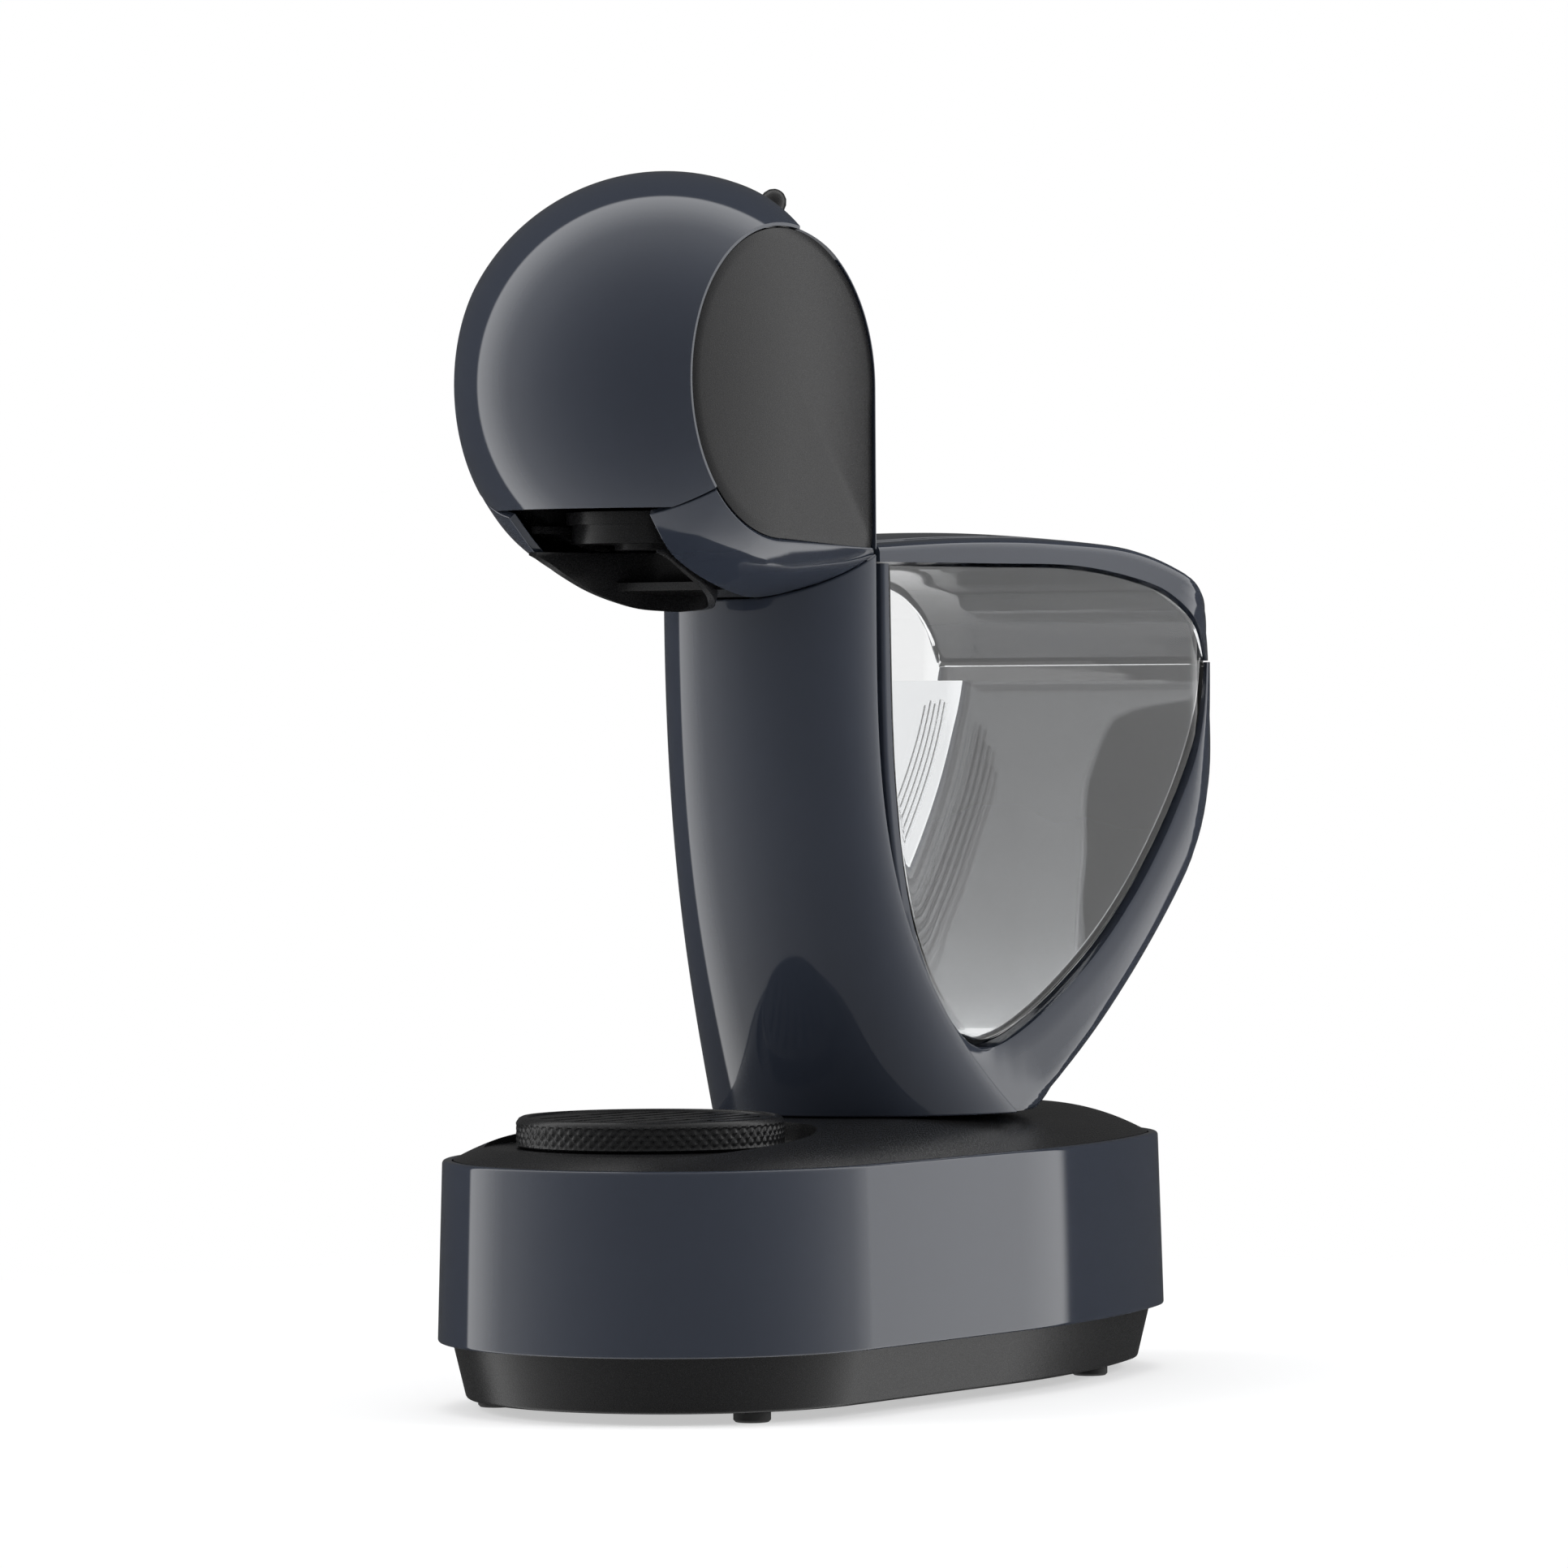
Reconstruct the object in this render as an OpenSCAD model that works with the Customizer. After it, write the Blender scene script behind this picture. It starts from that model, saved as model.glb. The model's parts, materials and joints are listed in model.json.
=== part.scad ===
/* [Base] */

// Width of the base, side to side, in mm
base_w = 130; // [124:1:140]
// Length of the base, front to back, in mm
base_len = 262; // [254:1:272]
// Height of the glossy band's top edge above the table, in mm
band_top = 67; // [62:1:70]
// Height of the glossy band's lower edge above the table, in mm
band_bottom = 18.2; // [14:0.2:22]
// Wall thickness of the base mouldings, in mm
wall = 2.6; // [2:0.1:3.2]
// Height of the rubber feet, in mm
foot_h = 3; // [2.5:0.1:4]
// Rise of the matte top above the band, in mm
dome_rise = 8.6; // [7:0.2:9.6]

/* [Drip tray] */

// Outer diameter of the knurled drip ring, in mm
ring_d = 72; // [68:1:76]
// Height of the knurled drip ring, in mm
ring_h = 8.4; // [7:0.2:9]
// Depth of the drip cup under the ring, in mm
cup_depth = 26; // [20:1:30]
// Number of slots across the drip grid
grid_slots = 7; // [5:2:9]

/* [Head] */

// Radius of the ball-shaped head, in mm
ball_r = 57.8; // [57:0.1:58.4]
// Distance from the middle to each flat side of the head, in mm
side_x = 39.1; // [38.6:0.1:39.6]
// Skin thickness of the locking handle, in mm
skin = 2.6; // [2.2:0.1:3]
// How far back the handle's skin reaches over the top, in degrees
handle_back = 100; // [96:1:102]

/* [Water tank] */

// Wall thickness of the clear tank, in mm
tank_wall = 2.2; // [1.8:0.1:2.8]
// Diameter of the tank's outlet spigot, in mm
spigot_d = 14; // [12:1:16]

/* [Pod holder] */

// Inside diameter of the pod dish, in mm
pod_d = 36; // [33:0.5:36]
// Depth of the pod dish, in mm
pod_depth = 6; // [4.5:0.1:6.5]

/* [Fits] */

// Gap between neighbouring mouldings, in mm
gap = 0.4; // [0.3:0.05:0.6]
// Radial play of a running fit, in mm
play = 0.06; // [0.03:0.01:0.1]

/* [Hidden] */

$fa = 4;
$fs = 0.6;

// base plan: round nose, straight sides, long side arcs, round tail
front_r = base_w / 2;
front_y = -137;
nose_cy = front_y + front_r;
straight = 69.8;
flare_y = nose_cy + straight;
flare_r = base_w * 2.086;
flare_cx = flare_r - front_r;
tail_run = base_len - front_r - straight;
tail_r = (tail_run * tail_run + flare_cx * flare_cx - flare_r * flare_r) / (2 * (tail_run - flare_r));
tail_cy = flare_y + tail_run - tail_r;
flare_a = atan2(tail_cy - flare_y, flare_cx);
draft = 1.46;
skirt_in = 4;
skirt_lean = 3.6;
tail_y = tail_cy + tail_r;
button_z = 42;
button_r = 6;
cord_z = 11;
cord_r = 3.9;
plate_t = 2.4;
floor_z = foot_h + plate_t;
plate_in = skirt_in + skirt_lean + plate_t + gap;

// feet and their screws, all at one distance in from the outline
foot_in = 15.4;
foot_r = 5;
foot_seat = 1.6;
foot_front_a = -31.2;
foot_rear_a = flare_a - 4.1;
head_r = 3;
shank_r = 2.1;
screw_post_r = 4.6;
screw_post_h = 8;

// works inside the base
pump_r = 16;
pump_x = -14;
pump_y = 20;
pump_z = 32;
pump_len = 46;
thermo_w = 24;
thermo_len = 48;
thermo_x = base_w / 2 - 57;
board_t = 2;
board_len = 44;
board_x = 31 - base_w / 2;
board_y = min(46, tail_y - 78);

// drip tray
ring_y = -84.6;
ring_r = ring_d / 2;
recess_r = ring_r + 8.6;
recess_z = band_top + 3.6;
cup_r = ring_r - 3.4;
cup_rim = 3;
cup_z = recess_z - cup_depth;
grid_r = ring_r - 3;
grid_t = 2.4;
grid_z = recess_z + ring_h - grid_t - 0.6;
knurl_n = 72;
knurl_d = 0.9;

// head: everything inside follows the ball's radius and the flat sides
panel_gap = 0.35;
panel_t = 2.6;
panel_x = side_x - panel_t - 0.2;
lip_r = sqrt(ball_r * ball_r - side_x * side_x) - 0.87;
panel_r = lip_r - panel_gap;
web_t = 2.5;
web_x = panel_x - web_t - 0.5;
web_r = sqrt(pow(ball_r - skin, 2) - web_x * web_x) + 0.6;
hub_r = 9;
chassis_x = web_x - gap;
cover_in = skin + gap + 0.2;
cover_t = 2;
cover_r = ball_r - cover_in - cover_t;
drum_r = web_r - 0.7;
handle_low = -42;
handle_cut = panel_r - 7.95;
column_low = band_top + dome_rise + 0.3;
column_top = column_low + 141.5;
column_h = column_top - column_low;
neck_h = 13.2;
neck_low = column_top + neck_h;
ball_y = -75.3;
ball_z = neck_low + panel_r + 2.25;
neck_back = panel_r - 0.55;
head_clear = 2.2;
wall_back = sqrt(pow(cover_r, 2) - pow(chassis_x, 2)) - gap;
cheek_low = -88;
lever_a = 128;
lever_hub = 30;
lever_pin_r = 1.5;
lever_tilt = 12;
lever_rod = 2.4;
knob_r = 3.5;
lever_len = ball_r + knob_r + gap - lever_hub;
slot_w = 2 * (lever_rod + 0.8);

// pod holder
pod_r = pod_d / 2;
bowl_r = pod_r + 2;
holder_y = ring_y;
holder_top = ball_z - handle_cut - 0.5;
flange_t = 3.3;
holder_z = holder_top - pod_depth - 2.4;
holder_x = bowl_r + 1.5;
rail_x = holder_x + gap;
cheek_x = rail_x + 0.1;
boss_r = 8.6;
tongue = 34;
injector_z = holder_top + 7;
needle_len = 5;
hood_t = 2;

// column, loop and tank
nose_w = 33.6;
nose_flare = 12.6;
nose_c = -25;
nose_front = -50;
neck_rise = 12.2;
tank_front_x = nose_w;
tank_back_x = 48.4;
plan_front = -26;
plan_corner = 24.5;
loop_back = 137;
split_drop = 17.4;
lid_split = column_top - split_drop;
lid_gap_z = 9.5;
lid_low = lid_gap_z + gap;
seat_y = 22;
seat_z = column_low + 10.1;
seat_r = 10.6;
tank_fit = 1.1;
tank_front = ball_y + ball_r + 0.7;

slate = [0.27, 0.29, 0.33];
matte = [0.12, 0.12, 0.13];
clear = [0.8, 0.85, 0.88, 0.5];
steel = [0.7, 0.7, 0.7];
rubber = [0.15, 0.15, 0.15];

// ---------- helpers ----------

// points and directions round the base plan: [centre x, centre y, radius, direction]
function arc(cx, cy, r, a0, a1, n) = [for (k = [0:n]) [cx, cy, r, a0 + (a1 - a0) * k / n]];
plan_marks = concat(
  arc(0, nose_cy, front_r, 180, 360, 30),
  arc(-flare_cx, flare_y, flare_r, 0, flare_a, 7),
  arc(0, tail_cy, tail_r, flare_a + 7, 173 - flare_a, 18),
  arc(flare_cx, flare_y, flare_r, 180 - flare_a, 180, 7)
);
function egg_pt(m, u) = [m[0] + (m[2] + u) * cos(m[3]), m[1] + (m[2] + u) * sin(m[3])];

// a profile of [offset from the outline, height] carried round the base plan
module egg_sweep(p) {
  n = len(plan_marks);
  k = len(p);
  polyhedron(
    [for (m = plan_marks) for (q = p) concat(egg_pt(m, q[0]), [q[1]])],
    concat(
      [for (a = [0:n - 1]) for (b = [0:k - 1]) [a * k + b, ((a + 1) % n) * k + b, ((a + 1) % n) * k + (b + 1) % k]],
      [for (a = [0:n - 1]) for (b = [0:k - 1]) [a * k + b, ((a + 1) % n) * k + (b + 1) % k, a * k + (b + 1) % k]]
    )
  );
}

function rev(v) = [for (i = [len(v) - 1:-1:0]) v[i]];

// the same sweep for an open profile, whose two ends are closed with flat plates
module egg_cap(p) {
  n = len(plan_marks);
  k = len(p);
  polyhedron(
    [for (m = plan_marks) for (q = p) concat(egg_pt(m, q[0]), [q[1]])],
    concat(
      [for (a = [0:n - 1]) for (b = [0:k - 2]) [a * k + b, ((a + 1) % n) * k + b, ((a + 1) % n) * k + b + 1]],
      [for (a = [0:n - 1]) for (b = [0:k - 2]) [a * k + b, ((a + 1) % n) * k + b + 1, a * k + b + 1]],
      [[for (a = [n - 1:-1:0]) a * k], [for (a = [0:n - 1]) a * k + k - 1]]
    )
  );
}

// the base plan as a flat outline, moved in by i
module egg(i) {
  polygon([for (m = plan_marks) egg_pt(m, -i)]);
}

module egg_plate(i, z, t) {
  translate([0, 0, z]) linear_extrude(t) egg(i);
}

// a [y, z] outline carried along X from x0 to x1
module xprism(p, x0, x1) {
  translate([x0, 0, 0]) rotate([90, 0, 90]) linear_extrude(x1 - x0) polygon(p);
}

// a [radius, x] outline turned about the head's own cross axis,
// from angle f0 to f1 measured up from straight ahead
module xrev(f0, f1) {
  translate([0, ball_y, ball_z]) rotate([0, 90, 0]) rotate([0, 0, 270 - f1])
    rotate_extrude(angle = f1 - f0) children();
}

// the part of a ball skin between two x planes, as a [radius, x] outline
module band(ro, ri, x0, x1) {
  intersection() {
    difference() {
      circle(ro);
      circle(ri);
    }
    translate([0, x0]) square([ro + 1, x1 - x0]);
  }
}

// a drum about the head's cross axis
module xdrum(r, x0, x1) {
  translate([x0, ball_y, ball_z]) rotate([0, 90, 0]) cylinder(r = r, h = x1 - x0);
}

// a smooth curve through the points p, with n steps from each to the next
function span(a, b, c, d, u) = b + u * (c - a) / 2 + u * u * (2 * a - 5 * b + 4 * c - d) / 2
  + u * u * u * (3 * b - a - 3 * c + d) / 2;
function curve(p, n) = concat(
  [for (i = [0:len(p) - 2]) for (k = [0:n - 1])
    span(p[max(0, i - 1)], p[i], p[i + 1], p[min(len(p) - 1, i + 2)], k / n)],
  [p[len(p) - 1]]
);

// a point at a share t of the column's height
function at(y, t) = [y, column_low + t * column_h];

// a skin over closed rings of points, one after the other, with both ends closed
module loft(rings) {
  n = len(rings);
  k = len(rings[0]);
  polyhedron([for (r = rings) each r], concat(
    [[for (c = [0:k - 1]) c], [for (c = [k - 1:-1:0]) (n - 1) * k + c]],
    [for (r = [0:n - 2]) for (c = [0:k - 1]) [r * k + c, (r + 1) * k + c, (r + 1) * k + (c + 1) % k]],
    [for (r = [0:n - 2]) for (c = [0:k - 1]) [r * k + c, (r + 1) * k + (c + 1) % k, r * k + (c + 1) % k]]
  ));
}

module post(x, y, z, r, h) {
  translate([x, y, z]) cylinder(r = r, h = h);
}

// ---------- base ----------

module base_band() color(slate) {
  difference() {
    egg_sweep([
      [0, band_bottom], [-draft, band_top], [-draft - wall, band_top],
      [-wall - 0.2, band_bottom]
    ]);
    translate([0, tail_y - 12, button_z]) rotate([-90, 0, 0]) cylinder(r = button_r + 0.3, h = 20);
  }
}

function dome(t) = [-draft - wall - gap - 34 * t, band_top + dome_rise * (1 - pow(1 - t, 2.2))];

module base_top() color(matte) {
  difference() {
    union() {
      egg_cap(concat(
        [for (i = [8:-1:0]) dome(i / 8)],
        [[-draft - wall - gap, band_top - 7], [-draft - 2 * wall - gap, band_top - 7]],
        [for (i = [0:2:8]) dome(i / 8) - [i == 0 ? wall : 0, wall]]
      ));
      post(0, ring_y, recess_z - wall, recess_r + 2, wall + 0.3);
      post(0, ring_y, recess_z - 8, cup_r + 1.6 + gap, 7);
    }
    post(0, ring_y, recess_z, recess_r, 20);
    post(0, ring_y, recess_z - 20, cup_r + gap, 30);
    post(0, 0, band_top, 12, 20);
  }
}

module base_skirt() color(matte) {
  difference() {
    egg_sweep([
      [-skirt_in, band_bottom - 0.2], [-skirt_in - skirt_lean, foot_h], [-skirt_in - skirt_lean - plate_t, foot_h],
      [-skirt_in - 2.6, band_bottom - 2], [-skirt_in - 2.6, band_bottom + 3],
      [-wall - 0.2 - gap, band_bottom + 3], [-wall - 0.2 - gap, band_bottom - 0.2]
    ]);
    translate([0, tail_y - 14, cord_z]) rotate([-90, 0, 0]) cylinder(r = cord_r + 0.2, h = 20);
  }
}

foot_front = egg_pt([0, nose_cy, front_r, foot_front_a], -foot_in);
foot_rear = egg_pt([-flare_cx, flare_y, flare_r, foot_rear_a], -foot_in);
feet = [for (p = [foot_front, foot_rear]) for (s = [-1, 1]) [s * p[0], p[1]]];

module base_plate() color(matte) {
  difference() {
    union() {
      egg_plate(plate_in, foot_h, plate_t);
      for (p = feet) post(p[0], p[1], foot_h, screw_post_r, screw_post_h);
    }
    for (p = feet) post(p[0], p[1], 0, shank_r, 20);
  }
}

module foot(p) color(rubber) {
  translate([p[0], p[1], 0]) rotate_extrude() polygon([
    [shank_r + 0.1, foot_seat], [head_r + gap, foot_seat], [head_r + gap, 0],
    [foot_r - 0.6, 0], [foot_r, 0.6], [foot_r, foot_h], [shank_r + 0.1, foot_h]
  ]);
}

module foot_front_left() foot(feet[0]);
module foot_front_right() foot(feet[1]);
module foot_rear_left() foot(feet[2]);
module foot_rear_right() foot(feet[3]);

module base_screws() color(steel) {
  for (p = feet) {
    post(p[0], p[1], foot_seat - 1.1, head_r, 1.1);
    post(p[0], p[1], foot_seat - 1, shank_r, 9);
  }
}

// ---------- drip tray ----------

module drip_cup() color(matte) {
  translate([0, ring_y, cup_z]) rotate_extrude() polygon([
    [0, 0], [cup_r - 4, 0], [cup_r - 0.6, 3], [cup_r, cup_depth + cup_rim],
    [cup_r - 1.8, cup_depth + cup_rim], [cup_r - 2.4, 4], [cup_r - 5, 2], [0, 2]
  ]);
}

module drip_ring() color(matte) {
  difference() {
    translate([0, ring_y, recess_z]) rotate_extrude() polygon([
      [cup_r + play, 0], [ring_r - 1, 0], [ring_r - 0.4, 0.8], [ring_r - 0.4, ring_h - 1.4],
      [ring_r - 1.2, ring_h], [ring_r - 3, ring_h], [ring_r - 3, ring_h - grid_t - 0.6],
      [cup_r - 2.2, ring_h - grid_t - 0.6], [cup_r - 2.2, cup_rim + 0.02], [cup_r + play, cup_rim + 0.02]
    ]);
    for (i = [0:knurl_n - 1]) translate([0, ring_y, 0]) rotate([0, 0, i * 360 / knurl_n])
      translate([ring_r - 0.2, 0, recess_z + 0.6]) rotate([0, 0, 45]) cylinder(r = knurl_d, h = ring_h - 2.2, $fn = 4);
  }
}

module drip_grid() color(matte) {
  pitch = 2 * grid_r / (grid_slots + 2);
  difference() {
    post(0, ring_y, grid_z, grid_r - gap, grid_t);
    intersection() {
      post(0, ring_y, grid_z - 1, grid_r - 3.4, grid_t + 2);
      for (i = [0:grid_slots - 1]) {
        x = (i - (grid_slots - 1) / 2) * pitch;
        for (s = [-1, 1]) translate([x - 1.7, ring_y + s * grid_r / 2 - grid_r / 2 + 1, grid_z - 1])
          cube([3.4, grid_r - 2, grid_t + 2]);
      }
    }
  }
}

// ---------- inside and behind the base ----------

module cord_inlet() color(rubber) {
  translate([0, tail_y - skirt_in - 7, cord_z]) rotate([-90, 0, 0]) rotate_extrude() polygon([
    [2.6, 0], [cord_r, 0], [cord_r, 6.8], [cord_r + 1.4, 6.8], [cord_r + 1.4, 8.4], [cord_r - 0.6, 9.6], [2.6, 9.6]
  ]);
}

module power_button() color(matte) {
  translate([0, tail_y - 8, button_z]) rotate([-90, 0, 0]) cylinder(r = button_r, h = 8.2);
}

module pump() color(steel) {
  translate([pump_x, pump_y, pump_z]) rotate([90, 0, 0]) {
    cylinder(r = pump_r, h = pump_len);
    cylinder(r = 7, h = pump_len + 16);
    translate([0, 0, -14]) cylinder(r = 5, h = 15);
  }
}

module pump_mount() color(rubber) {
  difference() {
    for (y = [pump_y - 38, pump_y - 12]) translate([pump_x - 19, y, floor_z]) cube([38, 7, 26]);
    translate([pump_x, pump_y + 20, pump_z]) rotate([90, 0, 0]) cylinder(r = pump_r + play, h = 90);
  }
}

module thermoblock() color(steel) {
  y = tail_y - 95;
  translate([thermo_x, y, floor_z]) cube([thermo_w, thermo_len, 30]);
  for (k = [0.25, 0.75]) post(thermo_x + thermo_w / 2, y + k * thermo_len, floor_z + 29, 4, 12);
}

module circuit_board() color([0.1, 0.35, 0.2]) {
  translate([board_x, board_y, floor_z]) cube([board_t, board_len, 34]);
  translate([board_x + board_t, board_y + 8, 12]) cube([12, 14, 16]);
  translate([board_x + board_t, board_y + 28, 14]) cube([7, 9, 9]);
}

// ---------- column and loop ----------

// half width, middle line and front of the column's nose at height t (0 low, 1 high)
function col_w(t) = nose_w + nose_flare * pow(1 - t, 3.4);
function col_c(t) = nose_c + 49 * pow(1 - t, 3.2);
function col_n(t) = nose_front + 25 * pow(1 - t, 1.8);

// height of the column's top edge, which climbs to the rear under the head
function crease(y) = column_top + neck_rise * max(0, (y - nose_front - 1.5) / (nose_c - nose_front - 1.5));

// a point of the nose at share r of its height and angle a, moved in by i
function col_pt(r, a, i) =
  let (top = crease(nose_c - (nose_c - nose_front - i) * cos(a)))
  let (z = column_low + r * (top - column_low))
  let (t = min(1, (z - column_low) / column_h))
  [(col_w(t) - i) * sin(a), col_c(t) - (col_c(t) - col_n(t) - i) * cos(a), z];
col_rows = 14;
col_cols = 24;

// a wall between two skins of the column's nose, closed at both ends
module nose_wall(i) {
  m = col_cols + 1;
  k = 2 * m;
  pts = [for (r = [0:col_rows]) each concat(
    [for (c = [0:col_cols]) col_pt(r / col_rows, -90 + 180 * c / col_cols, 0)],
    [for (c = [col_cols:-1:0]) col_pt(r / col_rows, -90 + 180 * c / col_cols, i)]
  )];
  polyhedron(pts, concat(
    [for (c = [0:col_cols - 1]) [c, c + 1, k - 2 - c]],
    [for (c = [0:col_cols - 1]) [c, k - 2 - c, k - 1 - c]],
    [for (c = [0:col_cols - 1]) [for (j = [k - 2 - c, c + 1, c]) col_rows * k + j]],
    [for (c = [0:col_cols - 1]) [for (j = [k - 1 - c, k - 2 - c, c]) col_rows * k + j]],
    [for (r = [0:col_rows - 1]) for (c = [0:k - 1]) [r * k + c, (r + 1) * k + c, (r + 1) * k + (c + 1) % k]],
    [for (r = [0:col_rows - 1]) for (c = [0:k - 1]) [r * k + c, (r + 1) * k + (c + 1) % k, r * k + (c + 1) % k]]
  ));
}

module column_shell() color(slate) nose_wall(wall);

// the loop's two edges seen from the side, from the top front down and up to the top rear
loop_in = curve([
  [-20.4, column_top + lid_gap_z], at(-18.9, 0.7), at(-13.4, 0.432), at(-3.5, 0.258), at(8, 0.16),
  at(15, 0.13), at(seat_y, 0.125), at(33, 0.149), at(49, 0.2085), at(68.5, 0.305), at(85.5, 0.418),
  at(loop_back - 37.5, 0.538), at(loop_back - 26.5, 0.658), at(loop_back - 19, 0.778),
  [loop_back - 16, lid_split]
], 3);
loop_out = curve([
  [-23, column_top + lid_gap_z], at(-22, 0.7), at(-17, 0.439), at(-8.4, 0.255), at(3, 0.1),
  at(9, 0), at(20, 0), at(33, 0), at(46, 0.012), at(70.9, 0.125), at(91.8, 0.249),
  at(loop_back - 25.5, 0.401), at(loop_back - 10.5, 0.567), at(loop_back - 2.5, 0.721),
  [loop_back, lid_split]
], 3);

// half width of the tank's plan at y, and of the loop at y and z
function plan_half(y) = y < loop_back - plan_corner
  ? tank_front_x + (y - plan_front) * (tank_back_x - tank_front_x) / (loop_back - plan_corner - plan_front)
  : tank_back_x - plan_corner + sqrt(max(0, pow(plan_corner, 2) - pow(y - loop_back + plan_corner, 2)));
function loop_half(y, z) =
  let (t = max(0, min(1, (z - column_low) / column_h)))
  let (w = col_w(t) - wall - gap)
  y > col_c(t) + gap ? max(plan_half(y), w)
    : w * sqrt(max(0.2, 1 - pow((col_c(t) + gap - y) / (col_c(t) - col_n(t) - wall - gap), 2)));

// one ring of the loop between its edges, with the outer corners rounded by r
function loop_ring(p, q, r) =
  let (d = norm(q - p))
  let (side = [for (u = [0, 0.3, 0.55, 0.75, 0.88, 0.96, 1])
    let (m = p + u * (q - p))
    [loop_half(m[0], m[1]) - r * (1 - sqrt(1 - pow(max(0, 1 - (1 - u) * d / r), 2))), m[0], max(m[1], column_low + 0.1)]])
  concat(side, [for (i = [len(side) - 1:-1:0]) [-side[i][0], side[i][1], side[i][2]]]);

module loop_frame() color(slate) {
  n = len(loop_in) - 1;
  difference() {
    loft([for (k = [0:n]) loop_ring(loop_in[k], loop_out[k], 1 + 13 * max(0, sin(360 * (k / n - 0.5))))]);
    post(0, seat_y, column_low - 6, seat_r + gap, 30);
    translate([-12, seat_y - 23, column_low - 1]) cube([36, 14, 8]);
  }
}

// a web down the middle of the column, which stiffens the nose
module column_rib() color(matte) xprism(concat(
  [for (t = [0:0.1:1]) at(col_n(t) + wall + gap + 1.2, t)],
  [for (p = loop_out) if (p[0] < 8 && p[1] < column_top - 1 && p[1] > column_low + 1) [p[0] - gap, p[1]]],
  [[8, column_low]]
), -9, -6);

module plan(i) {
  polygon([
    [-tank_front_x + i, plan_front], [tank_front_x - i, plan_front],
    [tank_back_x - i, loop_back - plan_corner], [-tank_back_x + i, loop_back - plan_corner]
  ]);
  for (s = [-1, 1]) translate([s * (tank_back_x - plan_corner), loop_back - plan_corner])
    circle(plan_corner - i);
  translate([-tank_back_x + plan_corner, loop_back - plan_corner])
    square([2 * (tank_back_x - plan_corner), plan_corner - i]);
}

module plan_block(i, z, h) {
  translate([0, 0, z]) linear_extrude(h) plan(i);
}

module tank_seat() color(matte) {
  difference() {
    union() {
      post(0, seat_y, column_low + 1.1, seat_r, 15.4);
      post(0, seat_y, column_low + 4, 3, 16);
    }
    translate([0, seat_y, seat_z]) rotate_extrude() polygon([[3.4, 0], [spigot_d / 2 + 0.6, 0],
      [spigot_d / 2 + 0.6, 12], [3.4, 12]]);
  }
}

module seat_gasket() color(rubber) {
  translate([0, seat_y, seat_z]) rotate_extrude() polygon([
    [spigot_d / 2 + play, 1], [spigot_d / 2 + 0.6, 1], [spigot_d / 2 + 0.6, 4], [spigot_d / 2 + play, 4]
  ]);
}

// the lid's upper and lower faces seen from the side
function over(y, d) = [y, column_top + d];
lid_top = curve([
  over(-24, 16.2), over(10, 18.2), over(50, 19.1), over(loop_back - 49, 16.6), over(loop_back - 24, 9.2),
  over(loop_back - 7.5, -1), over(loop_back - 1.4, -10.6), over(loop_back, gap - split_drop)
], 4);
lid_under = curve([
  over(-24, lid_low), over(20, lid_low), over(60.2, 9.5), over(loop_back - 46.7, 5.3),
  over(loop_back - 32.4, 0.2), over(loop_back - 23.2, -6.8), over(loop_back - 17.6, gap - split_drop)
], 3);

// the tank's own outline, inside the loop and under the lid, moved in by i
module tank_area(i) {
  difference() {
    offset(delta = -i) polygon(concat(loop_in, rev(lid_under)));
    translate([tank_front + i - tank_fit - 60, column_low]) square([60, column_h * 2]);
  }
}

// a flat [y, z] area carried across the machine
module across(w) {
  translate([-w, 0, 0]) rotate([90, 0, 90]) linear_extrude(2 * w) children();
}

module tank() color(clear) {
  floor_low = at(0, 0.125)[1] + tank_fit;
  difference() {
    union() {
      difference() {
        union() {
          intersection() {
            across(60) tank_area(tank_fit);
            plan_block(1, floor_low - 4, 150);
          }
          post(0, seat_y, seat_z + 2, spigot_d / 2, 8);
        }
        intersection() {
          across(60) for (k = [0, 6]) translate([0, k]) tank_area(tank_fit + tank_wall);
          plan_block(1 + tank_wall, floor_low - 4, 160);
        }
      }
      post(0, seat_y, floor_low + 1, spigot_d / 2, tank_wall + 2.6);
    }
    post(0, seat_y, seat_z - 6, spigot_d / 2 - 2.4, 30);
  }
}

module tank_valve() color(rubber) {
  top = at(0, 0.125)[1] + tank_fit + tank_wall + 3.7;
  post(0, seat_y, column_low + 20.4, 3.4, top - column_low - 20);
  post(0, seat_y, top, spigot_d / 2 - 0.6, 1.6);
}

// the lid's crown across the machine, as an [x, z] outline
module crown(top, low) {
  polygon(concat(
    [[-60, low], [60, low]],
    [for (x = [60:-6:-60]) [x, top - 2.6 * x * x / 1600]]
  ));
}

module tank_lid() color(slate) {
  difference() {
    intersection() {
      xprism(concat(lid_top, rev(lid_under)), -60, 60);
      plan_block(0, lid_split - 5, 60);
      translate([0, loop_back + 63, 0]) rotate([90, 0, 0]) linear_extrude(240)
        crown(column_top + 19.1, lid_split - 10);
    }
    post(0, ball_y, lid_split, ball_r + head_clear, 60);
  }
}

// ---------- head ----------

module side_panel(s) color(matte) {
  mirror([s, 0, 0]) {
    xdrum(panel_r, panel_x, panel_x + panel_t);
    xprism([
      [ball_y, ball_z], [ball_y, ball_z - panel_r], [ball_y + neck_back, neck_low],
      [ball_y + neck_back, ball_z]
    ], panel_x, panel_x + panel_t);
  }
}

module panel_left() side_panel(1);
module panel_right() side_panel(0);

// a frame that looks out through the lever's slot, with its Z along the lever
module lever_frame() {
  translate([0, ball_y, ball_z]) rotate([90 - lever_a, 0, 0]) children();
}

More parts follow.
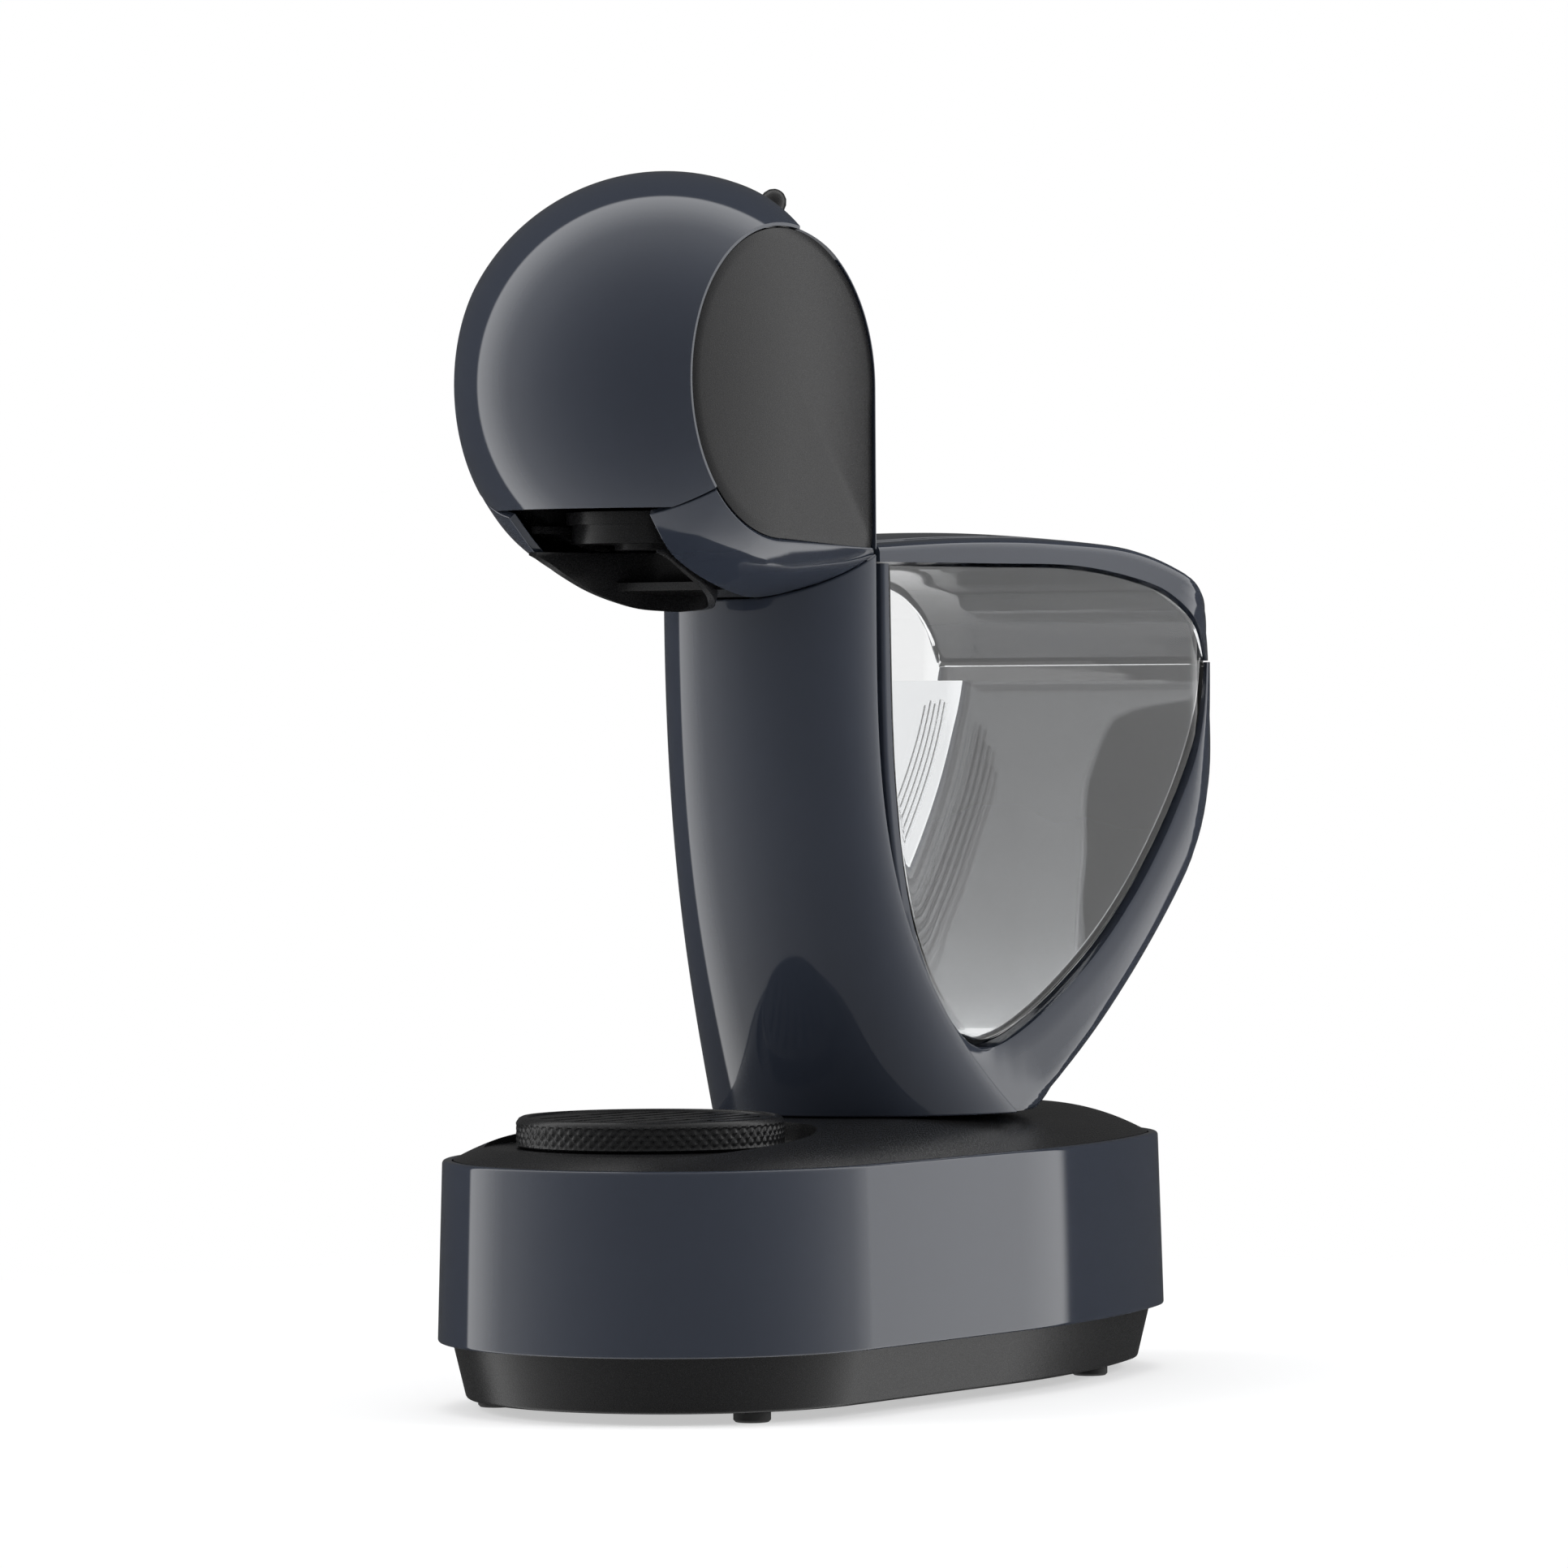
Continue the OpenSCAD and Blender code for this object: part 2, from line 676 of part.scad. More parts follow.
module head_chassis() color(matte) {
  difference() {
    union() {
      for (s = [0, 1]) mirror([s, 0, 0]) {
        xrev(0, 360) intersection() {
          translate([0, rail_x]) square([drum_r, chassis_x - rail_x]);
          circle(cover_r - gap);
        }
        xdrum(hub_r, chassis_x - 1, panel_x - 0.1);
        translate([chassis_x - 1, ball_y + 20, neck_low]) cube([panel_x - chassis_x + 0.9, wall_back - 23, 30]);
        translate([rail_x - 1.6, holder_y - bowl_r - 1.5, holder_top - flange_t - 2.2])
          cube([2, tongue + bowl_r, 1.9]);
      }
      translate([-chassis_x, ball_y + wall_back - 6.6, neck_low]) cube([2 * chassis_x, 6.6, ball_z - neck_low]);
      lever_frame() {
        translate([-rail_x - 1, -8, 12]) cube([2 * rail_x + 2, 16, 12]);
        for (y = [-7.4, 4.4]) translate([-5, y, 22]) cube([10, 3, lever_hub - 18]);
      }
    }
    lever_frame() translate([0, -20, lever_hub]) rotate([-90, 0, 0]) cylinder(r = lever_pin_r, h = 40);
    for (s = [0, 1]) mirror([s, 0, 0]) translate([16, ball_y + 30, neck_low - 1])
      cube([8, 20, ball_z - neck_low - 11]);
  }
}

module lever_pin() color(steel) {
  lever_frame() translate([0, -8.4, lever_hub]) rotate([-90, 0, 0]) cylinder(r = lever_pin_r - 0.02, h = 16.8);
}

// the collar between column and head, seen from the side and from above
collar_x = side_x - 0.2;
collar_side = [
  [ball_y - 1.7, column_top + gap + 0.1], [nose_front + 1.5, column_top + gap],
  [nose_c - 2, crease(nose_c - 2) + gap], [nose_c - 2, neck_low - gap], [ball_y - 1.7, neck_low - gap]
];
collar_plan = [
  [cheek_x + 1, ball_y - 2.7], [29, ball_y + 7.3], [34, ball_y + 19.3], [collar_x - 1.3, ball_y + 31.3],
  [collar_x, ball_y + neck_back], [collar_x, ball_y + ball_r]
];

module neck_collar() color(slate) {
  difference() {
    intersection() {
      xprism(collar_side, -collar_x, collar_x);
      post(0, ball_y, column_top - 10, ball_r, 60);
      linear_extrude(ball_z) polygon([
        for (s = [-1, 1]) for (p = s < 0 ? collar_plan : rev(collar_plan)) [s * p[0], p[1]]
      ]);
    }
    translate([-cheek_x, ball_y - 5, column_top - 10]) cube([2 * cheek_x, 19, 40]);
  }
}

// keeps the head's skins clear of the side panels
module lip_cut() {
  translate([0, panel_x - 0.1]) square([lip_r, 10]);
}

module rear_cover() color(slate) {
  under_x = web_x - gap;
  difference() {
    union() {
      xrev(handle_back + 1, lever_a + 4) band(ball_r - cover_in, cover_r + 0.3, -under_x, under_x);
      xrev(lever_a - 2, 180) difference() {
        band(ball_r - 0.4, cover_r, -side_x, side_x);
        for (s = [0, 1]) mirror([0, s]) lip_cut();
      }
    }
    lever_frame() translate([-14, -slot_w / 2, 40]) cube([28, slot_w, 30]);
  }
  // a strip inside the wall that joins its round and straight parts
  intersection() {
    difference() {
      post(0, ball_y, ball_z - 2, ball_r - 1.6, 4);
      post(0, ball_y, ball_z - 3, cover_r + 1, 6);
    }
    translate([-chassis_x, ball_y + 38, ball_z - 3]) cube([2 * chassis_x, 30, 6]);
  }
  difference() {
    intersection() {
      post(0, ball_y, neck_low, ball_r - 0.4, ball_z - neck_low);
      translate([-side_x, ball_y + 36, neck_low]) cube([2 * side_x, 40, ball_z - neck_low]);
    }
    post(0, ball_y, neck_low - 1, cover_r, ball_z - neck_low + 2);
    for (s = [0, 1]) mirror([s, 0, 0]) translate([panel_x - gap, ball_y, neck_low - 1])
      cube([10, lip_r, ball_z - neck_low + 2]);
  }
}

module handle_shell() color(slate) {
  difference() {
    union() {
      xrev(handle_low, handle_back) {
        difference() {
          band(ball_r, ball_r - skin, -side_x, side_x);
          for (s = [0, 1]) mirror([0, s]) lip_cut();
        }
        for (s = [0, 1]) mirror([0, s]) translate([hub_r + 2, web_x]) square([web_r - hub_r - 2, web_t]);
      }
      for (s = [0, 1]) mirror([s, 0, 0]) difference() {
        xdrum(hub_r + 5, web_x, web_x + web_t);
        xdrum(hub_r + play, web_x - 1, web_x + web_t + 1);
      }
    }
    translate([-60, ball_y - 60, ball_z - handle_cut - 40]) cube([120, 120, 40]);
  }
}

module cheek(s) color(slate) {
  mirror([s, 0, 0]) difference() {
    xrev(cheek_low, handle_low - 0.6) difference() {
      band(ball_r, ball_r - skin, cheek_x, side_x);
      lip_cut();
    }
  }
}

module cheek_left() cheek(1);
module cheek_right() cheek(0);

// the hood round the outlet, open to the front and below
module splash_guard() color(matte) {
  low = ball_z - 74.2;
  top = holder_z - gap;
  intersection() {
    difference() {
      union() {
        post(0, holder_y, low, holder_x, 36);
        translate([-holder_x, holder_y - 40, low]) cube([2 * holder_x, 40, 36]);
      }
      post(0, holder_y, low - 1, holder_x - hood_t, 40);
      translate([hood_t - holder_x, holder_y - 41, low - 1]) cube([2 * (holder_x - hood_t), 41, 40]);
    }
    xprism(concat([[holder_y + 22.6, top], [holder_y + 22.6, low + 13.6]], curve([
      [holder_y + 6.6, low + 13.6], [holder_y - 3.4, low + 16], [holder_y - 13.4, low + 21],
      [holder_y - 21.4, low + 26.6], [holder_y - 26.4, top]
    ], 3)), -30, 30);
    translate([0, -50, low + 53.6]) rotate([90, 0, 0]) cylinder(r = 40, h = 80);
  }
}

module pod_holder() color(matte) {
  difference() {
    union() {
      post(0, holder_y, holder_top - flange_t, holder_x, flange_t);
      translate([-holder_x, holder_y, holder_top - flange_t]) cube([2 * holder_x, tongue, flange_t]);
      post(0, holder_y, holder_z, bowl_r, pod_depth + 2);
      post(0, holder_y, holder_z - 1.6, boss_r, 2);
    }
    post(0, holder_y, holder_z + 2.4, pod_r, 30);
    post(0, holder_y, holder_z - 20, 2.2, 30);
  }
}

module injector_plate() color(steel) {
  translate([-holder_x, holder_y - pod_r, injector_z]) cube([2 * holder_x, 2 * pod_r, 4]);
  post(0, holder_y, injector_z + 3, 6, 9);
}

module injector_needle() color(steel) {
  post(0, holder_y, injector_z - needle_len, 1, needle_len);
}

module selector_lever() color(matte) {
  lever_frame() translate([0, 0, lever_hub]) {
    difference() {
      union() {
        rotate([90, 0, 0]) translate([0, 0, -4]) cylinder(r = 4, h = 8);
        rotate([0, lever_tilt, 0]) cylinder(r = lever_rod, h = lever_len);
      }
      rotate([90, 0, 0]) translate([0, 0, -5]) cylinder(r = lever_pin_r + play, h = 10);
    }
    rotate([0, lever_tilt, 0]) translate([0, 0, lever_len]) sphere(knob_r);
  }
}

module water_hose() color(clear) {
  translate([6, -12, column_low + 0.4]) rotate([10.6, 0, 0]) cylinder(r = 3, h = column_top - column_low - 3);
}

base_band();
base_top();
base_skirt();
base_plate();
foot_front_left();
foot_front_right();
foot_rear_left();
foot_rear_right();
base_screws();
drip_cup();
drip_ring();
drip_grid();
cord_inlet();
power_button();
pump();
pump_mount();
thermoblock();
circuit_board();
column_shell();
column_rib();
loop_frame();
tank_seat();
seat_gasket();
tank();
tank_lid();
tank_valve();
head_chassis();
neck_collar();
panel_left();
panel_right();
rear_cover();
handle_shell();
cheek_left();
cheek_right();
splash_guard();
pod_holder();
injector_plate();
injector_needle();
selector_lever();
lever_pin();
water_hose();
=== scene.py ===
import json
import math

import bmesh
import bpy
from mathutils import Matrix, Vector


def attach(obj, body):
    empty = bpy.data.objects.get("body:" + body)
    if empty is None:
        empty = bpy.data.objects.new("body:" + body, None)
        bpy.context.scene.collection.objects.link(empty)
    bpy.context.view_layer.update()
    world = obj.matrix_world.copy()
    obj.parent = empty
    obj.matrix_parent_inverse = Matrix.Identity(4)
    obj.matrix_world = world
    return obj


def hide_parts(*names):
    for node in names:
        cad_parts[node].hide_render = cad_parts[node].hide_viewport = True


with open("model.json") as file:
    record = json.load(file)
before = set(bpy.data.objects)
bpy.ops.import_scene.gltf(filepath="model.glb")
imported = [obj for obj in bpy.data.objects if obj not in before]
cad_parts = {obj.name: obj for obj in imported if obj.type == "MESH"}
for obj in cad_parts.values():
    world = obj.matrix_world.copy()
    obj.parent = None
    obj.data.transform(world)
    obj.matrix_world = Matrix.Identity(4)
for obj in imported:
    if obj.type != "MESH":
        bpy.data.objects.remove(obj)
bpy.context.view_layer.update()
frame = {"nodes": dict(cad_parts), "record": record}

MM = 0.001


# ---------- camera ----------

def add_camera():
    """The photograph's camera: a long lens, slightly rolled."""
    data = bpy.data.cameras.new("camera")
    data.sensor_width = 36.0
    data.lens = 181.14
    data.clip_end = 20.0
    cam = bpy.data.objects.new("camera", data)
    bpy.context.scene.collection.objects.link(cam)
    eye = Vector((1.25518, -1.78264, 0.19164))
    aim = Vector((-0.00107, -0.02053, 0.16691))
    ahead = (aim - eye).normalized()
    level = ahead.cross(Vector((0, 0, 1))).normalized()
    roll = math.radians(-0.34)
    right = level * math.cos(roll) + level.cross(ahead) * math.sin(roll)
    up = right.cross(ahead)
    turn = Matrix((right, up, -ahead)).transposed().to_4x4()
    cam.matrix_world = Matrix.Translation(eye) @ turn
    bpy.context.scene.camera = cam


add_camera()


# ---------- materials ----------

def new_material(name, colour, rough, metal=0.0, bump=0.0, scale=400.0, vary=0.06, ior=1.5):
    """A moulded surface: slow drift of tone, fine grain in the roughness and a shallow bump."""
    mat = bpy.data.materials.new(name)
    mat.use_nodes = True
    tree = mat.node_tree
    bsdf = tree.nodes["Principled BSDF"]
    bsdf.inputs["Metallic"].default_value = metal
    bsdf.inputs["IOR"].default_value = ior
    where = tree.nodes.new("ShaderNodeTexCoord")
    slow = tree.nodes.new("ShaderNodeTexNoise")
    slow.inputs["Scale"].default_value = 14.0
    slow.inputs["Detail"].default_value = 3.0
    tone = tree.nodes.new("ShaderNodeValToRGB")
    tone.color_ramp.elements[0].position = 0.3
    tone.color_ramp.elements[1].position = 0.7
    tone.color_ramp.elements[0].color = [c * (1 - vary) for c in colour] + [1]
    tone.color_ramp.elements[1].color = [min(1, c * (1 + vary)) for c in colour] + [1]
    fine = tree.nodes.new("ShaderNodeTexNoise")
    fine.inputs["Scale"].default_value = scale
    fine.inputs["Detail"].default_value = 4.0
    spread = tree.nodes.new("ShaderNodeMapRange")
    spread.inputs["To Min"].default_value = rough * 0.85
    spread.inputs["To Max"].default_value = rough * 1.15
    link = tree.links.new
    for tex in (slow, fine):
        link(where.outputs["Object"], tex.inputs["Vector"])
    link(slow.outputs["Fac"], tone.inputs["Fac"])
    link(tone.outputs["Color"], bsdf.inputs["Base Color"])
    link(fine.outputs["Fac"], spread.inputs["Value"])
    link(spread.outputs["Result"], bsdf.inputs["Roughness"])
    if bump:
        rise = tree.nodes.new("ShaderNodeBump")
        rise.inputs["Strength"].default_value = bump
        rise.inputs["Distance"].default_value = 0.0002
        link(fine.outputs["Fac"], rise.inputs["Height"])
        link(rise.outputs["Normal"], bsdf.inputs["Normal"])
    return mat


def clear_material(name, tint, rough, ior):
    """A clear surface that lets light through and bends it."""
    mat = new_material(name, tint, rough, vary=0.01, ior=ior)
    mat.node_tree.nodes["Principled BSDF"].inputs["Transmission Weight"].default_value = 1.0
    return mat


GLOSS = new_material("gloss_slate", (0.022, 0.0265, 0.0375), 0.06, scale=90.0, ior=1.62)
MATTE = new_material("matte_black", (0.008, 0.008, 0.0084), 0.28, bump=0.15, scale=2600.0, ior=1.4)
STEEL = new_material("steel", (0.55, 0.55, 0.56), 0.28, metal=1.0, scale=700.0)
RUBBER = new_material("rubber", (0.02, 0.02, 0.02), 0.7, bump=0.3, scale=1800.0)
BOARD = new_material("board", (0.03, 0.16, 0.07), 0.4, scale=600.0)
CLEAR = clear_material("clear_plastic", (0.985, 0.988, 0.99), 0.015, 1.46)
# real water has 1.33, but that puts bright patches into the tank, which aren't wanted here
WATER = clear_material("water", (0.955, 0.965, 0.975), 0.0, 1.05)
LOOK = {
    "gloss_slate": GLOSS, "matte_black": MATTE, "steel": STEEL, "rubber": RUBBER,
    "board": BOARD, "clear_plastic": CLEAR,
}

for row in frame["record"]["subparts"]:
    obj = frame["nodes"][row["node"]]
    obj.data.materials.clear()
    obj.data.materials.append(LOOK[row["material_slot"]])


# ---------- building helpers, all in millimetres ----------

def place(name, verts, faces):
    """A mesh object from points and faces, joined where points meet, with its normals outwards."""
    mesh = bpy.data.meshes.new(name)
    mesh.from_pydata([[c * MM for c in v] for v in verts], [], faces)
    work = bmesh.new()
    work.from_mesh(mesh)
    bmesh.ops.remove_doubles(work, verts=work.verts, dist=2e-6)
    bmesh.ops.recalc_face_normals(work, faces=work.faces)
    work.to_mesh(mesh)
    work.free()
    obj = bpy.data.objects.new(name, mesh)
    bpy.context.scene.collection.objects.link(obj)
    return obj


def soften(obj, bevel, angle=35, segments=3):
    """Smooth shading that keeps real edges, and a small round on them."""
    obj.data.shade_smooth()
    obj.data.set_sharp_from_angle(angle=math.radians(angle))
    if bevel:
        edge = obj.modifiers.new("edge", "BEVEL")
        edge.width = bevel * MM
        edge.segments = segments
        edge.limit_method = "ANGLE"
        edge.angle_limit = math.radians(angle)
        edge.harden_normals = True


def dress(obj, slot, body, nodes=(), bevel=0.4, angle=35):
    """Gives a piece its finish and its body, and hides the CAD nodes that it stands for."""
    obj.data.materials.append(LOOK[slot])
    soften(obj, bevel, angle)
    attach(obj, body)
    if nodes:
        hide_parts(*nodes)
    return obj


def carve(obj, tool):
    """Takes the tool's volume out of obj and removes the tool."""
    cut = obj.modifiers.new("cut", "BOOLEAN")
    cut.operation = "DIFFERENCE"
    cut.solver = "EXACT"
    cut.object = tool
    graph = bpy.context.evaluated_depsgraph_get()
    made = bpy.data.meshes.new_from_object(obj.evaluated_get(graph))
    obj.modifiers.clear()
    obj.data = made
    bpy.data.objects.remove(tool)


def drum(name, x, y, z0, z1, r, n=160):
    """An upright cylinder, used to cut with."""
    ring = [(x + r * math.cos(2 * math.pi * k / n), y + r * math.sin(2 * math.pi * k / n)) for k in range(n)]
    verts = [(px, py, z) for z in (z0, z1) for px, py in ring]
    faces = [(k, (k + 1) % n, n + (k + 1) % n, n + k) for k in range(n)]
    return place(name, verts, faces + [tuple(range(n)), tuple(range(n, 2 * n))])


def loft_faces(n, k, closed):
    faces = []
    for a in range(n if closed else n - 1):
        b = (a + 1) % n
        faces += [(a * k + c, b * k + c, b * k + (c + 1) % k, a * k + (c + 1) % k) for c in range(k)]
    return faces


def loft(name, rings, closed=False):
    """A solid through equal rings of points: capped at both ends, or joined into a loop."""
    n, k = len(rings), len(rings[0])
    faces = loft_faces(n, k, closed)
    if not closed:
        faces += [tuple(range(k)), tuple(range((n - 1) * k, n * k))]
    return place(name, [p for r in rings for p in r], faces)


def skin(name, outer, inner):
    """A shell between two equal grids of points, closed round its border."""
    rows, cols = len(outer), len(outer[0])
    verts = [p for r in outer for p in r] + [p for r in inner for p in r]
    half = rows * cols
    faces = []
    for a in range(rows - 1):
        for b in range(cols - 1):
            q = (a * cols + b, a * cols + b + 1, (a + 1) * cols + b + 1, (a + 1) * cols + b)
            faces += [q, tuple(i + half for i in reversed(q))]
    rim = [c for c in range(cols)] + [a * cols + cols - 1 for a in range(1, rows)]
    rim += [(rows - 1) * cols + c for c in range(cols - 2, -1, -1)]
    rim += [a * cols for a in range(rows - 2, 0, -1)]
    for i, p in enumerate(rim):
        q = rim[(i + 1) % len(rim)]
        faces.append((p, q, q + half, p + half))
    return place(name, verts, faces)


def fillet(path, radii, n=5):
    """A closed outline with each corner rounded by its own radius."""
    out = []
    for i, p in enumerate(path):
        p = Vector(p)
        r = radii[i]
        if not r:
            out.append(tuple(p))
            continue
        a = p + (Vector(path[i - 1]) - p).normalized() * r
        b = p + (Vector(path[(i + 1) % len(path)]) - p).normalized() * r
        for k in range(n + 1):
            t = k / n
            out.append(tuple(a * (1 - t) ** 2 + p * 2 * t * (1 - t) + b * t * t))
    return out


def curve(points, n):
    """A smooth line through the points, n steps from each to the next."""
    pts = [Vector(p) for p in points]
    out = []
    for i in range(len(pts) - 1):
        a, b = pts[max(0, i - 1)], pts[i]
        c, d = pts[i + 1], pts[min(len(pts) - 1, i + 2)]
        for k in range(n):
            u = k / n
            out.append(b + u * (c - a) / 2 + u * u * (2 * a - 5 * b + 4 * c - d) / 2
                       + u ** 3 * (3 * b - a - 3 * c + d) / 2)
    return out + [pts[-1]]


def resample(points, n):
    """n + 1 points along a line, evenly by number."""
    size = len(points) - 1
    out = []
    for k in range(n + 1):
        f = k / n * size
        i = min(size - 1, int(f))
        out.append(points[i].lerp(points[i + 1], f - i))
    return out


# ---------- base ----------

BASE_W, BASE_L = 130, 262
NOSE_Y, FRONT_R, FLARE_Y = -72.0, 65.0, -2.2
FLARE_R = BASE_W * 2.086
FLARE_X = FLARE_R - FRONT_R
RUN = BASE_L - FRONT_R - 69.8
TAIL_R = (RUN ** 2 + FLARE_X ** 2 - FLARE_R ** 2) / (2 * (RUN - FLARE_R))
TAIL_Y = FLARE_Y + RUN - TAIL_R
FLARE_A = math.degrees(math.atan2(TAIL_Y - FLARE_Y, FLARE_X))
BAND_LOW, BAND_TOP = 18.2, 67
BALL, BALL_R = Vector((0, -75.3, 274.2)), 57.8
RING_Y = -84.6


def plan_marks(fine):
    """Centre, radius and angle of each point round the base's outline, which is made of four arcs."""
    runs = [
        (0, NOSE_Y, FRONT_R, 180, 360, 60), (-FLARE_X, FLARE_Y, FLARE_R, 0, FLARE_A, 20),
        (0, TAIL_Y, TAIL_R, FLARE_A, 180 - FLARE_A, 44),
        (FLARE_X, FLARE_Y, FLARE_R, 180 - FLARE_A, 180, 20),
    ]
    return [(x, y, r, math.radians(a + (b - a) * k / (n * fine))) for x, y, r, a, b, n in runs
            for k in range(n * fine)]


def plan_sweep(name, profile, fine=2):
    """A profile of (distance outwards, height) carried round the base's outline."""
    return loft(name, [[(x + (r + u) * math.cos(a), y + (r + u) * math.sin(a), z) for u, z in profile]
                       for x, y, r, a in plan_marks(fine)], closed=True)


def bore(obj, y, z, r, n):
    """A round hole through the base's rear wall, from y to the rear."""
    tool = drum("tool", 0, 0, 0, 30, r, n)
    tool.matrix_world = Matrix.Translation((0, y * MM, z * MM)) @ Matrix.Rotation(math.radians(-90), 4, "X")
    carve(obj, tool)


def add_base():
    """The glossy band, the matte skirt below it and the domed top with the tray's dish."""
    band = plan_sweep("base_band_skin", fillet([
        (0, BAND_LOW), (-1.46, BAND_TOP), (-4.06, BAND_TOP), (-2.8, BAND_LOW)
    ], (0.8, 1.1, 0.4, 0.4)))
    bore(band, 112, 42, 6.3, 64)
    dress(band, "gloss_slate", "machine", ["base_band"], bevel=0)
    skirt = plan_sweep("base_skirt_skin", fillet([
        (-4, 18), (-7.6, 3), (-10, 3), (-6.6, 16.2), (-6.6, 21.2), (-3.2, 21.2), (-3.2, 18)
    ], (0.3, 1.0, 0.3, 0, 0, 0, 0)))
    bore(skirt, 111, 11, 4.1, 48)
    dress(skirt, "matte_black", "machine", ["base_skirt"], bevel=0)
    edge, foot_z, run, crown, steps = -4.46, 60, 34, 8.6, 22
    rows = [(edge, foot_z)] + [(edge - run * t, BAND_TOP + crown * (1 - (1 - t) ** 2.2))
                               for t in [k / steps for k in range(steps + 1)]]
    marks = plan_marks(2)
    verts = [(x + (r + u) * math.cos(a), y + (r + u) * math.sin(a), z)
             for u, z in rows for x, y, r, a in marks]
    k = len(marks)
    faces = [(a * k + c, a * k + (c + 1) % k, (a + 1) * k + (c + 1) % k, (a + 1) * k + c)
             for a in range(len(rows) - 1) for c in range(k)]
    faces += [tuple(range(k)), tuple(range((len(rows) - 1) * k, len(rows) * k))]
    top = place("base_top_skin", verts, faces)
    carve(top, drum("tool", 0, RING_Y, 70.6, 90, 44.6))  # the dish round the tray
    carve(top, drum("tool", 0, RING_Y, 50, 90, 33.0))  # the tray's hole
    dress(top, "matte_black", "machine", ["base_top"], bevel=0.5, angle=30)


# ---------- drip tray ----------

def add_ring():
    """The tray's ring, with crossed grooves cut as a diamond knurl into its side."""
    turns, rows = 432, 15
    low_z, tall, pitch, radius, depth, count = 71.5, 5.9, 2.9, 36, 0.75, 36
    side = []
    for j in range(rows):
        z = low_z + tall * j / (rows - 1)
        fade = min(1, j / 1.5, (rows - 1 - j) / 1.5)
        row = []
        for k in range(turns):
            a = 2 * math.pi * k / turns
            p = count * a + math.pi * (z - low_z) / pitch
            q = count * a - math.pi * (z - low_z) / pitch
            dip = depth * fade * (1 - min(abs(math.sin(p)), abs(math.sin(q))) ** 0.5)
            r = radius - dip
            row.append((r * math.cos(a), RING_Y + r * math.sin(a), z))
        side.append(row)

    def hoop(r, z):
        return [(r * math.cos(2 * math.pi * k / turns), RING_Y + r * math.sin(2 * math.pi * k / turns), z)
                for k in range(turns)]
    lower = [hoop(32.7, 70.8), hoop(35, 70.8), hoop(35.6, 71.1)]
    upper = [hoop(r, z) for r, z in (
        (35.7, 77.9), (35.2, 78.6), (34.4, 79), (33.4, 79), (33, 78.6), (33, 76), (31, 76), (31, 73.7),
        (32.7, 73.7))]
    rings = lower + side + upper
    verts = [p for r in rings for p in r]
    ring = place("drip_ring_knurled", verts, loft_faces(len(rings), turns, True))
    dress(ring, "matte_black", "tray", ["drip_ring"], bevel=0, angle=50)


# ---------- column, loop and lid ----------

LOW, TOP = 75.9, 217.4
TALL = TOP - LOW
LOOP_TOP = 200
NECK_X = 33.6  # half width of the column's top and of the tank's front
EDGE_Y, NOSE_DEEP = -25, 25  # at the column's top: where its round front starts, and how far it stands out


def col_w(t):
    """The column's half width at share t of its height."""
    return NECK_X + 12.6 * (1 - t) ** 3.4


def col_c(t):
    """Where its round front starts, in y."""
    return EDGE_Y + 49 * (1 - t) ** 3.2


def col_n(t):
    """Where its nose is, in y."""
    return EDGE_Y - NOSE_DEEP + 25 * (1 - t) ** 1.8


def crease(y):
    """Height of the column's top edge, which climbs to the rear."""
    climb, start_y = 12.2, -48.5
    return TOP + climb * max(0, (y - start_y) / (EDGE_Y - start_y))


def nose_point(share, angle, inset):
    """A point on the column's rounded front, or inset from it."""
    a = math.radians(angle)
    z = LOW + share * (crease(EDGE_Y - (NOSE_DEEP - inset) * math.cos(a)) - LOW)
    t = min(1, (z - LOW) / TALL)
    return ((col_w(t) - inset) * math.sin(a), col_c(t) - (col_c(t) - col_n(t) - inset) * math.cos(a), z)


def at(y, t):
    """A point of the loop's side view, t being its share of the column's height."""
    return (y, LOW + t * TALL)


LOOP_IN = curve([
    (-20.4, 226.9), at(-18.9, 0.7), at(-13.4, 0.432), at(-3.5, 0.258), at(8, 0.16), at(15, 0.13),
    at(22, 0.125), at(33, 0.149), at(49, 0.2085), at(68.5, 0.305), at(85.5, 0.418), at(99.5, 0.538),
    at(110.5, 0.658), at(118, 0.778), (121, LOOP_TOP)], 6)
LOOP_OUT = curve([
    (-23, 226.9), at(-22, 0.7), at(-17, 0.439), at(-8.4, 0.255), at(3, 0.1), at(9, 0),
    at(20, 0), at(33, 0), at(46, 0.012), at(70.9, 0.125), at(91.8, 0.249), at(111.5, 0.401),
    at(126.5, 0.567), at(134.5, 0.721), (137, LOOP_TOP)], 6)


def plan_half(y):
    """Half width of tank, lid and loop: it grows to the rear and ends in round corners."""
    start_y, round_y, rear_x, corner_r = -26, 112.5, 48.4, 24.5
    if y < round_y:
        return NECK_X + (y - start_y) * (rear_x - NECK_X) / (round_y - start_y)
    return rear_x - corner_r + math.sqrt(max(0, corner_r ** 2 - (y - round_y) ** 2))


def loop_half(y, z):
    """Half width of the loop, which fits inside the column's nose at the front."""
    t = max(0, min(1, (z - LOW) / TALL))
    inset, start_y = 3, col_c(t) + 0.4
    w = col_w(t) - inset
    if y > start_y:
        return max(plan_half(y), w)
    return w * math.sqrt(max(0.2, 1 - ((start_y - y) / (col_c(t) - col_n(t) - inset)) ** 2))


def rounding(r, left):
    """How far a side draws in, where left is the distance to an edge rounded by r."""
    return r * (1 - math.sqrt(max(0, 1 - max(0, 1 - left / r) ** 2)))


